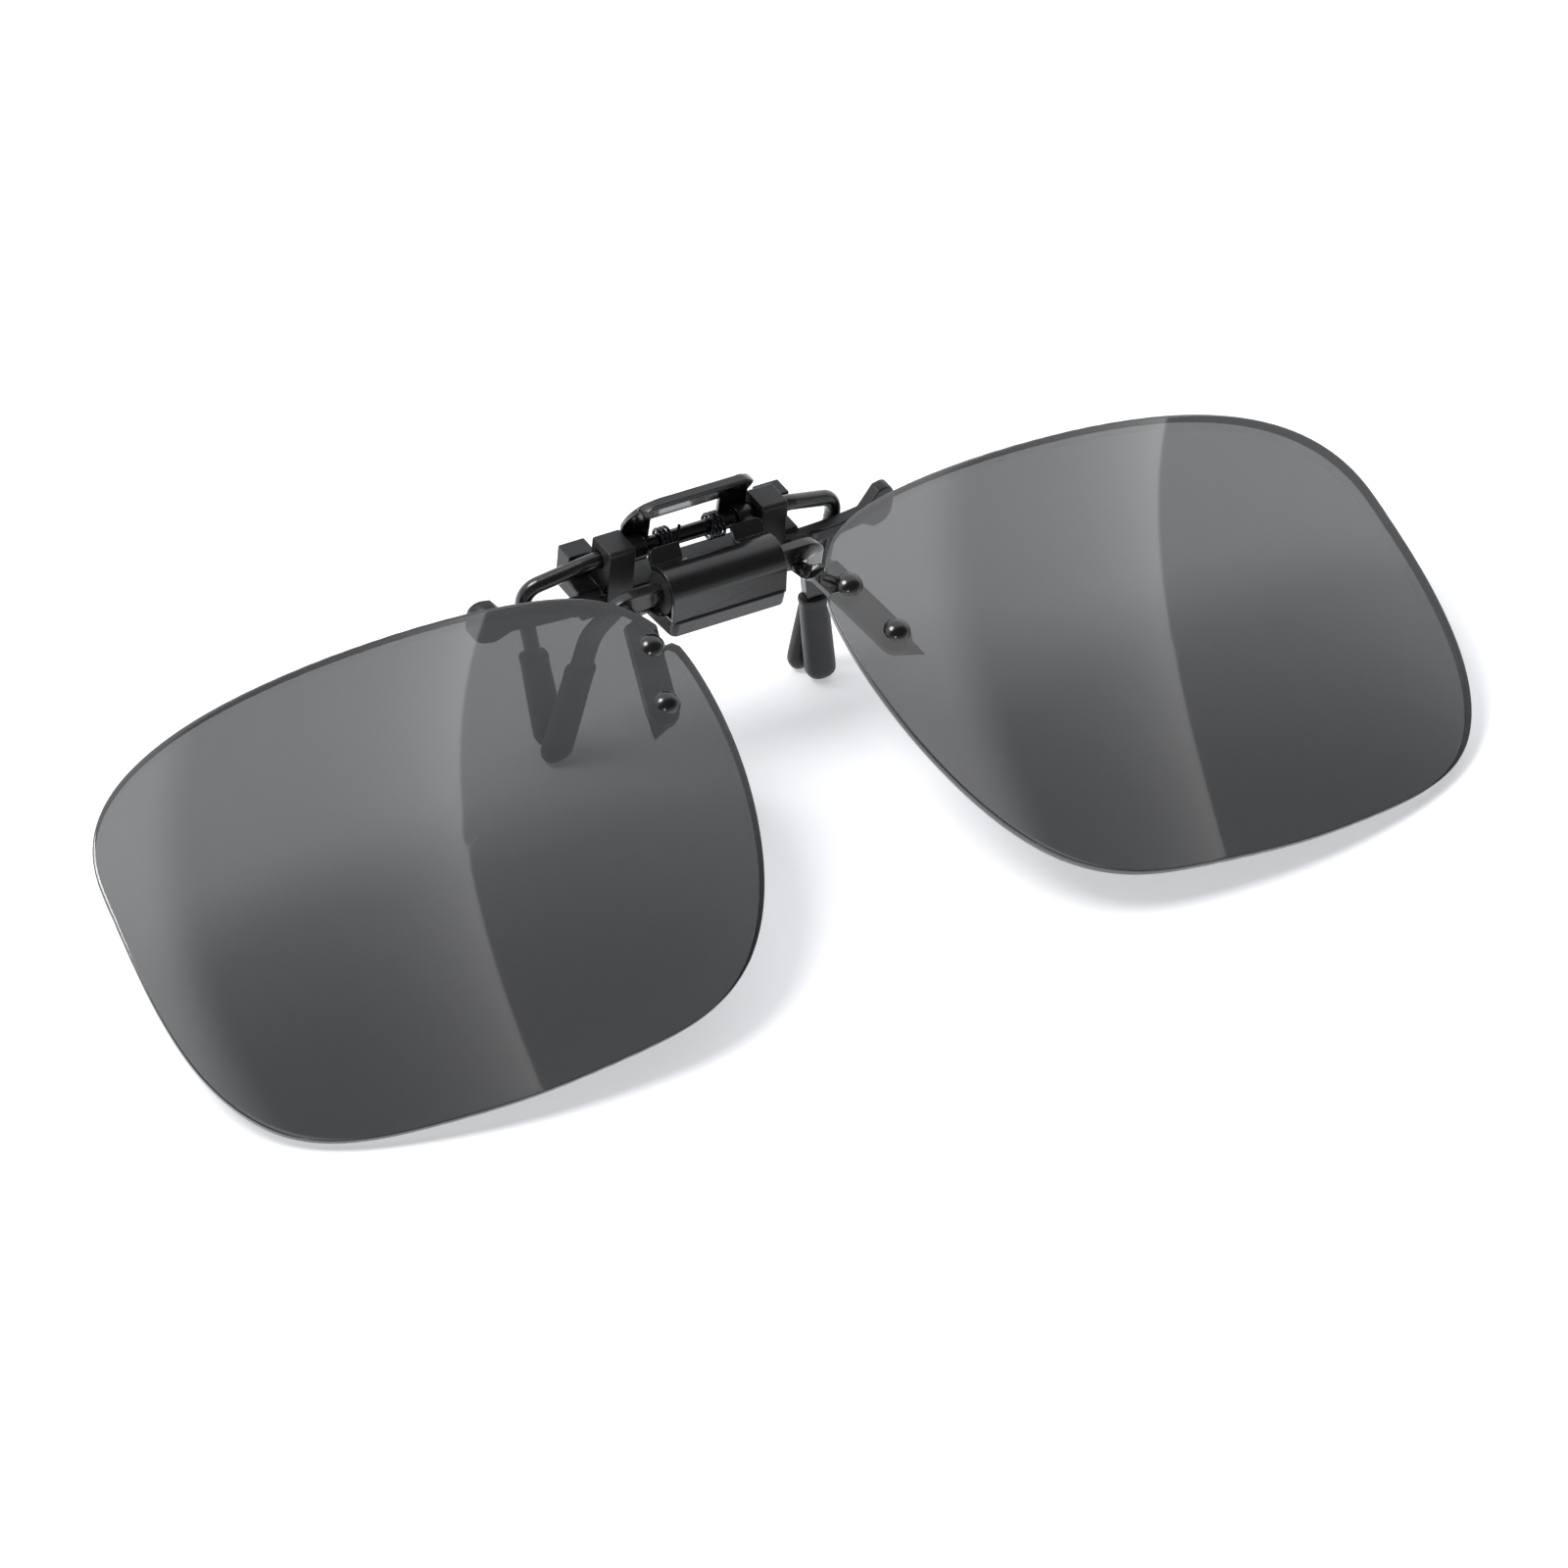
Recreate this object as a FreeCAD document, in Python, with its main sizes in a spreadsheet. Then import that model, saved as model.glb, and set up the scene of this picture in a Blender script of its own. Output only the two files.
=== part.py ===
import FreeCAD
import Part

import math
import os

import Sketcher
from FreeCAD import Placement, Rotation, Vector

# Rimless flip-up clip-on sunglasses.
#
# Frame: millimetres, +Z up, -Y to the front, +X to the viewer's right.  The origin is the middle of the
# bounding box's bottom: the clip stands on its pads and on the low corners of its flipped-up lenses.
#
# Two working points carry the whole mechanism, and every piece is drawn about one of them:
#   jaw pin    the axis of the rear jaw wire, where the squeeze lever turns
#   flip pin   the axis of the front jaw's axle, where the lens carrier flips up
# The lens carrier is drawn hanging straight down from the flip pin, then turned up by flip_angle.

doc = FreeCAD.newDocument("ClipOn")
sheet = doc.addObject("Spreadsheet::Sheet", "Sizes")

SIZES = {
    "working points": {
        "jaw_back": 20.45,
        "jaw_height": 19.3,
        "flip_forward": 5.18,
        "flip_drop": 1.3,
        "flip_angle": 67.0,
    },
    "lenses": {
        "lens_apart": 75.2,
        "lens_drop": 18.84,
        "lens_forward": 3.37,
        "lens_wrap": 5.2,
        "lens_radius": 133.0,
        "lens_thickness": 1.0,
        "rivet_hole": 1.3,
    },
    "rivets": {
        "rivet_upper_across": 10.25,
        "rivet_upper_drop": 5.6,
        "rivet_lower_across": 11.93,
        "rivet_lower_drop": 11.55,
        "rivet_head": 2.5,
        "rivet_dome": 0.75,
        "rivet_shank": 1.2,
        "rivet_tail": 1.9,
        "washer_width": 2.3,
        "washer_thickness": 0.35,
    },
    "lens carrier": {
        "arm_width": 3.0,
        "arm_thickness": 0.8,
        "arm_above": 2.9,
        "arm_below": 1.6,
        "bar_front_width": 11.7,
        "bar_back_width": 13.4,
        "bar_depth": 4.3,
        "bar_thickness": 1.75,
        "bar_offset": 1.12,
        "bar_tilt": 14.0,
        "bar_corner": 0.7,
        "hood_length": 11.8,
        "hood_radius": 2.5,
        "hood_sheet": 0.45,
        "hood_skirt": 2.1,
        "hood_tab_height": 1.5,
        "hood_tab_round": 0.7,
        "hood_window": 5.4,
        "neck_width": 1.5,
        "bush_length": 3.6,
        "bush_radius": 1.98,
        "bush_seat": 3.98,
        "bush_bore": 1.58,
        "cam_across": 2.0,
        "cam_length": 2.8,
        "leaf_width": 2.4,
        "leaf_thickness": 0.15,
    },
    "front jaw": {
        "axle_diameter": 1.5,
        "axle_length": 13.4,
        "leg_width": 1.8,
        "leg_thickness": 1.1,
        "shoulder_across": 10.15,
        "knee_across": 11.5,
        "knee_forward": 3.1,
        "knee_drop": 5.6,
        "foot_across": 14.0,
        "foot_forward": 2.88,
        "foot_drop": 18.3,
    },
    "rear jaw": {
        "wire_diameter": 1.5,
        "bend_across": 16.5,
        "bend_back": 1.25,
        "bend_drop": 2.2,
        "heel_across": 13.3,
        "heel_forward": 0.72,
        "heel_drop": 18.3,
        "bend_radius": 1.9,
    },
    "pads": {
        "pad_width": 3.3,
        "pad_depth": 2.0,
        "pad_length": 10.0,
        "pad_round": 0.9,
        "pad_skin": 0.9,
    },
    "lever": {
        "lever_width": 13.0,
        "lever_sheet": 0.5,
        "lever_foot_back": 0.9,
        "lever_knee_back": 0.75,
        "lever_knee_height": 2.2,
        "lever_top_forward": 0.85,
        "lever_top_height": 5.15,
        "lever_lip": 0.7,
        "lever_round": 2.6,
        "lever_window": 7.2,
        "ear_radius": 1.15,
        "ear_width": 1.7,
    },
    "springs": {
        "spring_wire": 0.3,
        "spring_turns": 3.25,
        "spring_pitch": 0.42,
        "spring_across": 2.6,
        "spring_tail": 2.2,
    },
    "jaw bar": {
        "bar_bottom": 4.3,
        "bar_top": 2.7,
        "block_inner": 13.2,
        "block_outer": 18.6,
        "block_front": 1.9,
        "block_back": 1.4,
        "block_top": 1.75,
        "block_bevel": 0.45,
        "wing_half": 22.0,
        "wing_thickness": 1.35,
        "wing_sweep": 1.7,
        "wing_bottom": 5.5,
        "tip_top": 1.5,
        "tip_length": 3.6,
        "rear_lug_back": 3.5,
        "rear_lug_outer": 11.5,
        "rear_lug_top": 0.1,
        "leg_lug_inner": 9.6,
        "leg_lug_outer": 12.2,
        "journal_bore": 1.58,
    },
}


def fill_sheet():
    """Write every driving size into the sheet as a plain number with its own alias."""
    row = 1
    for group, entries in SIZES.items():
        sheet.set("A%d" % row, group)
        for alias, value in entries.items():
            row += 1
            sheet.set("A%d" % row, alias)
            sheet.set("B%d" % row, "%.4f" % value)
            sheet.setAlias("B%d" % row, alias)
        row += 2
    doc.recompute()


def size(alias):
    """One driving size, as a plain number."""
    return float(sheet.get(alias))


def bind(thing, prop, expression):
    """Drive one property from the sheet; bare aliases are looked up there."""
    thing.setExpression(prop, expression)


fill_sheet()

JAW_PIN = Vector(0, size("jaw_back"), size("jaw_height"))
FLIP_PIN = JAW_PIN - Vector(0, size("flip_forward"), size("flip_drop"))
FLIP_TURN = Rotation(Vector(1, 0, 0), -size("flip_angle"))
AT_JAW_PIN = Placement(JAW_PIN, Rotation())
AT_FLIP_PIN = Placement(FLIP_PIN, FLIP_TURN)
SIDES = {"left": -1, "right": 1}
DOWN = Vector(0, 0, -1)


# ---------------------------------------------------------------- shared modelling helpers

def new_body(label):
    """A PartDesign body for one piece."""
    body = doc.addObject("PartDesign::Body", label)
    body.Label = label
    return body


def new_feature(label, shape, placement):
    """A piece whose shape is made in code, from sizes read from the sheet."""
    feature = doc.addObject("Part::Feature", label)
    feature.Label = label
    own = shape.Placement
    feature.Shape = shape
    feature.Placement = placement.multiply(own)
    return feature


def new_sketch(body, role, offset=0.0):
    """A sketch flat on one of the body's own planes, moved along that plane's normal."""
    sketch = body.newObject("Sketcher::SketchObject", body.Name + "_sketch")
    plane = [item for item in body.Origin.OriginFeatures if item.Role == role][0]
    sketch.AttachmentSupport = (plane, "")
    sketch.MapMode = "FlatFace"
    sketch.AttachmentOffset = Placement(Vector(0, 0, offset), Rotation())
    return sketch


def draw(sketch, edges):
    """Put a closed run of edges in a sketch and join each to the next."""
    first = sketch.GeometryCount
    for edge in edges:
        sketch.addGeometry(edge, False)
    count = len(edges)
    for index in range(count):
        this, following = first + index, first + (index + 1) % count
        for end, start in ((2, 1), (2, 2), (1, 1), (1, 2)):
            gap = sketch.getPoint(this, end).distanceToPoint(sketch.getPoint(following, start))
            if gap < 1e-6:
                sketch.addConstraint(Sketcher.Constraint("Coincident", this, end, following, start))
                break


def straight_edges(points):
    """The sides of a closed polygon."""
    corners = [Vector(x, y, 0) for x, y in points]
    return [Part.LineSegment(corners[i], corners[(i + 1) % len(corners)]) for i in range(len(corners))]


def rectangle(sketch, width, height):
    """A rectangle centred on the sketch's origin, with its two sizes bound to the sheet."""
    half_width = size(width) / 2
    half_height = size(height) / 2
    corners = [(-half_width, -half_height), (half_width, -half_height)]
    corners += [(half_width, half_height), (-half_width, half_height)]
    draw(sketch, straight_edges(corners))
    for side in (0, 2):
        sketch.addConstraint(Sketcher.Constraint("Horizontal", side))
    for side in (1, 3):
        sketch.addConstraint(Sketcher.Constraint("Vertical", side))
    sketch.addConstraint(Sketcher.Constraint("Symmetric", 0, 1, 1, 2, -1, 1))
    for name, kind, alias, first, second in (
        ("across", "DistanceX", width, (0, 1), (0, 2)),
        ("along", "DistanceY", height, (1, 1), (1, 2)),
    ):
        index = sketch.addConstraint(Sketcher.Constraint(kind, *first, *second, size(alias)))
        sketch.renameConstraint(index, name)
        bind(sketch, "Constraints." + name, "Sizes." + alias)


def circle(sketch, x, y, diameter):
    """A circle with its diameter bound to the sheet."""
    index = sketch.addGeometry(Part.Circle(Vector(x, y, 0), Vector(0, 0, 1), size(diameter) / 2), False)
    limit = sketch.addConstraint(Sketcher.Constraint("Diameter", index, size(diameter)))
    sketch.renameConstraint(limit, "across")
    bind(sketch, "Constraints.across", "Sizes." + diameter)


def pad(body, sketch, length, symmetric=False, reversed_side=False):
    """Pad a sketch by an expression over the sheet's sizes."""
    feature = body.newObject("PartDesign::Pad", body.Name + "_pad")
    feature.Profile = sketch
    bind(feature, "Length", length)
    feature.SideType = "Symmetric" if symmetric else "One side"
    feature.Reversed = reversed_side
    doc.recompute()
    return feature


def pocket(body, sketch, length):
    """Cut a sketch out of the body to both sides, and make sure that it did cut."""
    before = body.Shape.Volume
    feature = body.newObject("PartDesign::Pocket", body.Name + "_pocket")
    feature.Profile = sketch
    bind(feature, "Length", length)
    feature.SideType = "Symmetric"
    doc.recompute()
    if body.Shape.Volume >= before - 1e-6:
        raise RuntimeError(body.Label + ": a pocket cut nothing")
    return feature


def round_edges(body, wanted, radius):
    """Fillet the edges of the body for which wanted(edge) is true."""
    names = ["Edge%d" % (i + 1) for i, edge in enumerate(body.Shape.Edges) if wanted(edge)]
    rounded = body.Tip
    feature = body.newObject("PartDesign::Fillet", body.Name + "_fillet")
    feature.Base = (rounded, names)
    bind(feature, "Radius", radius)
    doc.recompute()
    return feature


def trim(body, tool):
    """Cut one finished piece out of another, so that the two fit together face to face."""
    label = body.Label
    body.Label = label + "_blank"
    trimmed = doc.addObject("Part::Cut", label + "_trimmed")
    trimmed.Base = body
    trimmed.Tool = tool
    trimmed.Label = label
    return trimmed


def is_along(edge, axis):
    """True for a straight edge that runs along the axis."""
    if edge.Curve.TypeId != "Part::GeomLine":
        return False
    return abs(abs(edge.Curve.Direction.dot(axis)) - 1) < 1e-6


def bent_path(points, radii):
    """Straight runs between the points, joined by tangent arcs of the given radii."""
    edges = []
    start = points[0]
    for before, corner, after, radius in zip(points, points[1:], points[2:], radii):
        arriving = (corner - before).normalize()
        leaving = (after - corner).normalize()
        turn = arriving.getAngle(leaving)
        setback = radius * math.tan(turn / 2)
        enter = corner - arriving * setback
        leave = corner + leaving * setback
        bisector = (leaving - arriving).normalize()
        centre = corner + bisector * (radius / math.cos(turn / 2))
        middle = centre - bisector * radius
        edges.append(Part.LineSegment(start, enter).toShape())
        edges.append(Part.Arc(enter, middle, leave).toShape())
        start = leave
    edges.append(Part.LineSegment(start, points[-1]).toShape())
    return Part.Wire(edges)


def round_bar(path, diameter):
    """A round bar along a path."""
    start = path.Edges[0].valueAt(path.Edges[0].FirstParameter)
    heading = path.Edges[0].tangentAt(path.Edges[0].FirstParameter)
    section = Part.Wire([Part.Circle(start, heading, diameter / 2).toShape()])
    return path.makePipeShell([section], True, False)


def tube(centre, axis, length, outer, inner):
    """A straight tube, centred, with outer and inner diameters."""
    start = centre - axis * (length / 2)
    body = Part.makeCylinder(outer / 2, length, start, axis)
    return body.cut(Part.makeCylinder(inner / 2, length, start, axis))


def mirror_to(side, shape):
    """The shape itself on the right, its mirror image on the left."""
    return shape if side > 0 else shape.mirror(Vector(0, 0, 0), Vector(1, 0, 0))


def along(direction, origin, across=Vector(1, 0, 0)):
    """Placement whose local +Z runs along direction and local +X stays near across."""
    return Placement(origin, Rotation(across, Vector(0, 0, 0), direction, "ZXY"))


# ---------------------------------------------------------------- lenses and what is riveted to them
#
# Lens frame: x, y, z as in the row, about the flip pin, with the lenses hanging straight down.

# Half of the symmetric pair: (outwards, up) from the lens centre, in the plane of the wrap.
LENS_OUTLINE = [
    (29.2, 8.4), (25.6, 16.0), (17.8, 19.8), (8.6, 21.3), (-7.0, 21.7), (-17.6, 21.0),
    (-26.5, 17.9), (-29.5, 13.2), (-30.1, 8.6), (-28.1, -6.0), (-19.8, -19.2), (-15.5, -21.4),
    (-7.4, -22.8), (4.1, -23.2), (10.1, -22.7), (24.6, -17.9), (28.4, -11.5), (29.6, -4.2),
]


def lens_centre():
    """Middle of the right lens's front surface."""
    return Vector(size("lens_apart") / 2, -size("lens_forward"), -size("lens_drop"))


def lens_facing():
    """Outward normal of the right lens at its middle, and the direction across it."""
    wrap = math.radians(size("lens_wrap"))
    return Vector(math.sin(wrap), -math.cos(wrap), 0), Vector(math.cos(wrap), math.sin(wrap), 0)


def sphere_centre():
    """Centre of the right lens's two spherical surfaces."""
    front, _ = lens_facing()
    return lens_centre() - front * size("lens_radius")


def on_lens(across, drop):
    """Point of the right lens's front surface at x = across and z = -drop, and its outward normal."""
    centre = sphere_centre()
    reach = size("lens_radius") ** 2 - (across - centre.x) ** 2 - (-drop - centre.z) ** 2
    point = Vector(across, centre.y - math.sqrt(reach), -drop)
    return point, (point - centre).normalize()


def rivet_seats():
    """Where the right lens's two rivets sit, upper one first."""
    names = ("upper", "lower")
    return [on_lens(size("rivet_%s_across" % n), size("rivet_%s_drop" % n)) for n in names]


def make_lens():
    """The right lens: a spherical shell cut to the outline and drilled for its rivets."""
    radius = size("lens_radius")
    thickness = size("lens_thickness")
    front, out = lens_facing()
    middle = lens_centre()
    outline = Part.BSplineCurve()
    outline.interpolate([middle + out * u + Vector(0, 0, v) for u, v in LENS_OUTLINE], PeriodicFlag=True)
    slab = Part.Face(Part.Wire([outline.toShape()])).extrude(front * 24)
    slab.translate(front * -12)
    # Each surface is one patch of a sphere about the middle of the lens, so no seam crosses it.
    turn = Rotation(Vector(1, 0, 0), front)
    ball = Part.makeSphere(radius).cut(Part.makeSphere(radius - thickness))
    ball.Placement = Placement(sphere_centre(), turn)
    lens = slab.common(ball)
    for point, normal in rivet_seats():
        start = point + normal
        lens = lens.cut(Part.makeCylinder(size("rivet_hole") / 2, thickness + 3, start, normal * -1))
    return max(lens.Solids, key=lambda solid: solid.Volume)


def arm_frame():
    """Origin and axes of the right arm: middle of the rivets on the lens's back, band, and normal."""
    (upper, upper_normal), (lower, lower_normal) = rivet_seats()
    normal = (upper_normal + lower_normal).normalize()
    down = (lower - upper).normalize()
    down = (down - normal * down.dot(normal)).normalize()
    middle = (upper + lower) * 0.5 - normal * (size("lens_thickness") + 0.06)
    return middle, down, normal


def make_rivet(point, normal):
    """Domed head, shank and upset tail of one rivet."""
    dome = size("rivet_dome")
    head = size("rivet_head") / 2
    ball = (head ** 2 + dome ** 2) / (2 * dome)
    grip = size("lens_thickness") + 0.06 + size("arm_thickness") + size("washer_thickness")
    cap = Part.makeSphere(ball, Vector(0, 0, dome - ball), Vector(0, 0, 1))
    cap = cap.common(Part.makeCylinder(head, dome))
    shank = Part.makeCylinder(size("rivet_shank") / 2, grip + 0.4, Vector(0, 0, 0.1), DOWN)
    tail = Part.makeCone(size("rivet_tail") / 2, size("rivet_tail") / 2 - 0.2, 0.45, Vector(0, 0, -grip), DOWN)
    rivet = cap.fuse([shank, tail]).removeSplitter()
    rivet.Placement = along(normal, point)
    return rivet


def make_washer(point, normal):
    """Washer between the arm's back and one rivet's tail."""
    gap = size("lens_thickness") + 0.06 + size("arm_thickness")
    middle = point - normal * (gap + size("washer_thickness") / 2)
    return tube(middle, normal, size("washer_thickness"), size("washer_width"), size("rivet_shank"))


def both_sides(shapes):
    """The right side's shapes and their mirror images, as one compound."""
    return Part.makeCompound([mirror_to(side, shape.copy()) for side in SIDES.values() for shape in shapes])


def make_arm():
    """The right arm: flat strip under the rivets with a neck that joins the lens bar's end."""
    middle, down, normal = arm_frame()
    back = normal * -1
    across = down.cross(back)
    width = size("arm_width")
    thickness = size("arm_thickness")
    (upper, _), (lower, _) = rivet_seats()
    reach = (lower - upper).Length / 2
    top = -reach - size("arm_above")
    bottom = reach + size("arm_below") - width / 2
    strip = Part.makeBox(width, bottom - top, thickness, Vector(-width / 2, top, 0))
    strip = strip.fuse(Part.makeCylinder(width / 2, thickness, Vector(0, bottom, 0))).removeSplitter()
    strip.Placement = Placement(middle, Rotation(across, down, back, "ZXY"))
    for point, axis in rivet_seats():
        start = point - axis * 0.5
        strip = strip.cut(Part.makeCylinder(size("rivet_shank") / 2, thickness + 2, start, axis * -1))
    # The neck runs out from the lens bar's upper corner, behind the axle, and under it to the strip.
    end = middle + down * top + back * (thickness / 2)
    stations = [
        (Vector(6.2, 2.0, 0.35), Vector(0, 0.25, 1), Vector(0, 1, -0.25)),
        (Vector(8.1, 1.95, 0.1), Vector(0.15, 0.3, 1), Vector(0.2, 1, -0.3)),
        (Vector(8.7, 0.45, -2.1), Vector(0.7, -0.5, 0.6), Vector(0.3, 1, 0.6)),
        (end, across, back),
    ]
    sections = []
    for index, (centre, wide, deep) in enumerate(stations):
        half_wide = (width if index == 3 else size("neck_width")) / 2
        wide_step = wide.normalize() * half_wide
        deep_step = (deep - wide * deep.dot(wide)).normalize() * (thickness / 2)
        ring = [centre - wide_step - deep_step, centre - wide_step + deep_step]
        ring += [centre + wide_step + deep_step, centre + wide_step - deep_step]
        sections.append(Part.makePolygon(ring + ring[:1]))
    neck = Part.makeLoft(sections, True, True)
    arm = strip.fuse(neck).removeSplitter().cut(right_lens)
    for seat in rivet_seats():
        arm = arm.cut(make_washer(*seat))
    return arm


right_lens = make_lens()
right_arm = make_arm()
for name, side in SIDES.items():
    new_feature("lens_" + name, mirror_to(side, right_lens.copy()), AT_FLIP_PIN)
    new_feature("lens_arm_" + name, mirror_to(side, right_arm.copy()), AT_FLIP_PIN)
new_feature("lens_rivets", both_sides([make_rivet(*seat) for seat in rivet_seats()]), AT_FLIP_PIN)
new_feature("rivet_washers", both_sides([make_washer(*seat) for seat in rivet_seats()]), AT_FLIP_PIN)


# ---------------------------------------------------------------- lens bar, hood and hinge parts

def make_lens_bar():
    """Thick plate behind the flip pin, wider at its upper end, which ties the two arms together."""
    body = new_body("lens_bar")
    sketch = new_sketch(body, "XZ_Plane", -size("bar_offset"))
    low = -size("bar_depth") * 0.72
    high = size("bar_depth") * 0.28
    front = size("bar_front_width") / 2
    back = size("bar_back_width") / 2
    draw(sketch, straight_edges([(-front, low), (front, low), (back, high), (-back, high)]))
    pad(body, sketch, "Sizes.bar_thickness", reversed_side=True)
    depth = Vector(0, 1, 0)
    round_edges(body, lambda edge: is_along(edge, depth) and edge.BoundBox.ZMax < 0, "Sizes.bar_corner")
    groove = new_sketch(body, "YZ_Plane")
    circle(groove, 0, 0, "bush_seat")
    pocket(body, groove, "1.2 * Sizes.bar_back_width")
    body.Placement = AT_FLIP_PIN.multiply(
        Placement(Vector(0, 0, 0), Rotation(Vector(1, 0, 0), -size("bar_tilt"))))
    return body


def make_hood():
    """Sheet hood round the front and top of the hinge, with a window between two tabs on top."""
    body = new_body("flip_hood")
    outer = size("hood_radius")
    inner = outer - size("hood_sheet")
    # Angles about the flip pin in the lens frame, from straight back, turning up and over to the front.
    rear = math.radians(118)
    front = math.radians(242)
    middle = (rear + front) / 2

    def spot(radius, angle):
        return Vector(radius * math.cos(angle), radius * math.sin(angle), 0)

    sketch = new_sketch(body, "YZ_Plane")
    draw(sketch, [
        Part.Arc(spot(outer, rear), spot(outer, middle), spot(outer, front)),
        Part.LineSegment(spot(outer, front), spot(inner, front)),
        Part.Arc(spot(inner, front), spot(inner, middle), spot(inner, rear)),
        Part.LineSegment(spot(inner, rear), spot(outer, rear)),
    ])
    pad(body, sketch, "Sizes.hood_length", symmetric=True)
    # A straight skirt runs down the front to the lens bar.
    down = Vector(-math.sin(front), math.cos(front), 0) * size("hood_skirt")
    skirt = new_sketch(body, "YZ_Plane")
    ring = [spot(outer, front), spot(outer, front) + down, spot(inner, front) + down, spot(inner, front)]
    draw(skirt, straight_edges([(point.x, point.y) for point in ring]))
    pad(body, skirt, "Sizes.hood_length", symmetric=True)
    # The tabs stand up along the sheet's rear edge, one each side of the window.
    behind = Vector(math.sin(rear), -math.cos(rear), 0) * size("hood_sheet")
    crown = outer + size("hood_tab_height")
    tabs = new_sketch(body, "YZ_Plane")
    ring = [spot(inner, rear), spot(crown, rear), spot(crown, rear) + behind, spot(inner, rear) + behind]
    draw(tabs, straight_edges([(point.x, point.y) for point in ring]))
    pad(body, tabs, "Sizes.hood_length", symmetric=True)

    def is_tab_corner(edge):
        middle = edge.CenterOfMass
        return edge.Length < size("hood_sheet") + 0.01 and math.hypot(middle.y, middle.z) > crown - 0.1

    round_edges(body, is_tab_corner, "Sizes.hood_tab_round")
    window = new_sketch(body, "YZ_Plane")
    depth = behind * 2
    cut = [spot(inner - 1, rear) - depth, spot(crown + 1, rear) - depth]
    cut += [spot(crown + 1, rear) + depth, spot(inner - 1, rear) + depth]
    draw(window, straight_edges([(point.x, point.y) for point in cut]))
    pocket(body, window, "Sizes.hood_window")
    body.Placement = AT_FLIP_PIN
    return body


def make_bush(name, side):
    """Half-length hinge bush with a flat where it sits on the lens bar."""
    centre = (size("hood_length") - size("bush_length")) / 2
    outer = doc.addObject("Part::Cylinder", "bush_blank_" + name)
    bind(outer, "Radius", "Sizes.bush_radius")
    bind(outer, "Height", "Sizes.bush_length")
    bore = doc.addObject("Part::Cylinder", "bush_bore_" + name)
    bind(bore, "Radius", "Sizes.bush_bore / 2")
    bind(bore, "Height", "Sizes.bush_length")
    flat = doc.addObject("Part::Box", "bush_flat_" + name)
    bind(flat, "Length", "Sizes.bush_radius * 2")
    bind(flat, "Width", "Sizes.bush_radius * 2")
    bind(flat, "Height", "Sizes.bush_length")
    tilt = Rotation(Vector(0, 0, 1), size("bar_tilt"))
    flat.Placement = Placement(tilt.multVec(Vector(-size("bush_radius"), size("bar_offset") - 0.02, 0)), tilt)
    drilled = doc.addObject("Part::Cut", "bush_drilled_" + name)
    drilled.Base = outer
    drilled.Tool = bore
    bush = doc.addObject("Part::Cut", "flip_bush_" + name)
    bush.Base = drilled
    bush.Tool = flat
    bush.Label = "flip_bush_" + name
    # Local z lies along x, and local y points back, towards the lens bar.
    lay = Placement(
        Vector(side * centre - size("bush_length") / 2, 0, 0),
        Rotation(Vector(0, 0, -1), Vector(0, 1, 0), Vector(1, 0, 0), "ZXY"))
    bush.Placement = AT_FLIP_PIN.multiply(lay)
    return bush


def make_cam():
    """Eight-sided detent sleeve fixed on the middle of the axle."""
    prism = doc.addObject("Part::Prism", "cam_blank")
    prism.Polygon = 8
    bind(prism, "Circumradius", "Sizes.cam_across / 2")
    bind(prism, "Height", "Sizes.cam_length")
    bore = doc.addObject("Part::Cylinder", "cam_bore")
    bind(bore, "Radius", "Sizes.axle_diameter / 2")
    bind(bore, "Height", "Sizes.cam_length")
    cam = doc.addObject("Part::Cut", "detent_cam")
    cam.Base = prism
    cam.Tool = bore
    cam.Label = "detent_cam"
    cam.Placement = Placement(
        FLIP_PIN - Vector(size("cam_length") / 2, 0, 0), Rotation(Vector(0, 1, 0), 90))
    return cam


def make_leaf():
    """Bowed leaf spring across the hood, resting on the cam."""
    body = new_body("detent_leaf")
    half_span = 1.62
    crown = size("cam_across") / 2 + 0.06
    edge = 1.18
    thickness = size("leaf_thickness")
    near = [Vector(-edge, half_span, 0), Vector(-crown, 0, 0), Vector(-edge, -half_span, 0)]
    far = [point - Vector(thickness, 0, 0) for point in near]
    sketch = new_sketch(body, "YZ_Plane")
    draw(sketch, [
        Part.Arc(*near),
        Part.LineSegment(near[2], far[2]),
        Part.Arc(*reversed(far)),
        Part.LineSegment(far[0], near[0]),
    ])
    pad(body, sketch, "Sizes.leaf_width", symmetric=True)
    body.Placement = AT_FLIP_PIN
    return body


lens_bar = make_lens_bar()
trim(make_hood(), lens_bar)
for name in SIDES:
    trim(doc.getObject("lens_arm_" + name), lens_bar)
for name, side in SIDES.items():
    make_bush(name, side)
make_cam()
make_leaf()


# ---------------------------------------------------------------- front jaw: axle and legs in one forging

def front_leg_route():
    """Route of the right front leg about the jaw pin, from inside the hood to the pad's end."""
    axle = Vector(0, -size("flip_forward"), -size("flip_drop"))
    shoulder = axle + Vector(size("shoulder_across"), 0, 0)
    knee = Vector(size("knee_across"), -size("knee_forward"), -size("knee_drop"))
    foot = Vector(size("foot_across"), -size("foot_forward"), -size("foot_drop"))
    start = axle + Vector(size("axle_length") / 2 - 0.6, 0, 0)
    return [start, shoulder, knee, foot]


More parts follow.
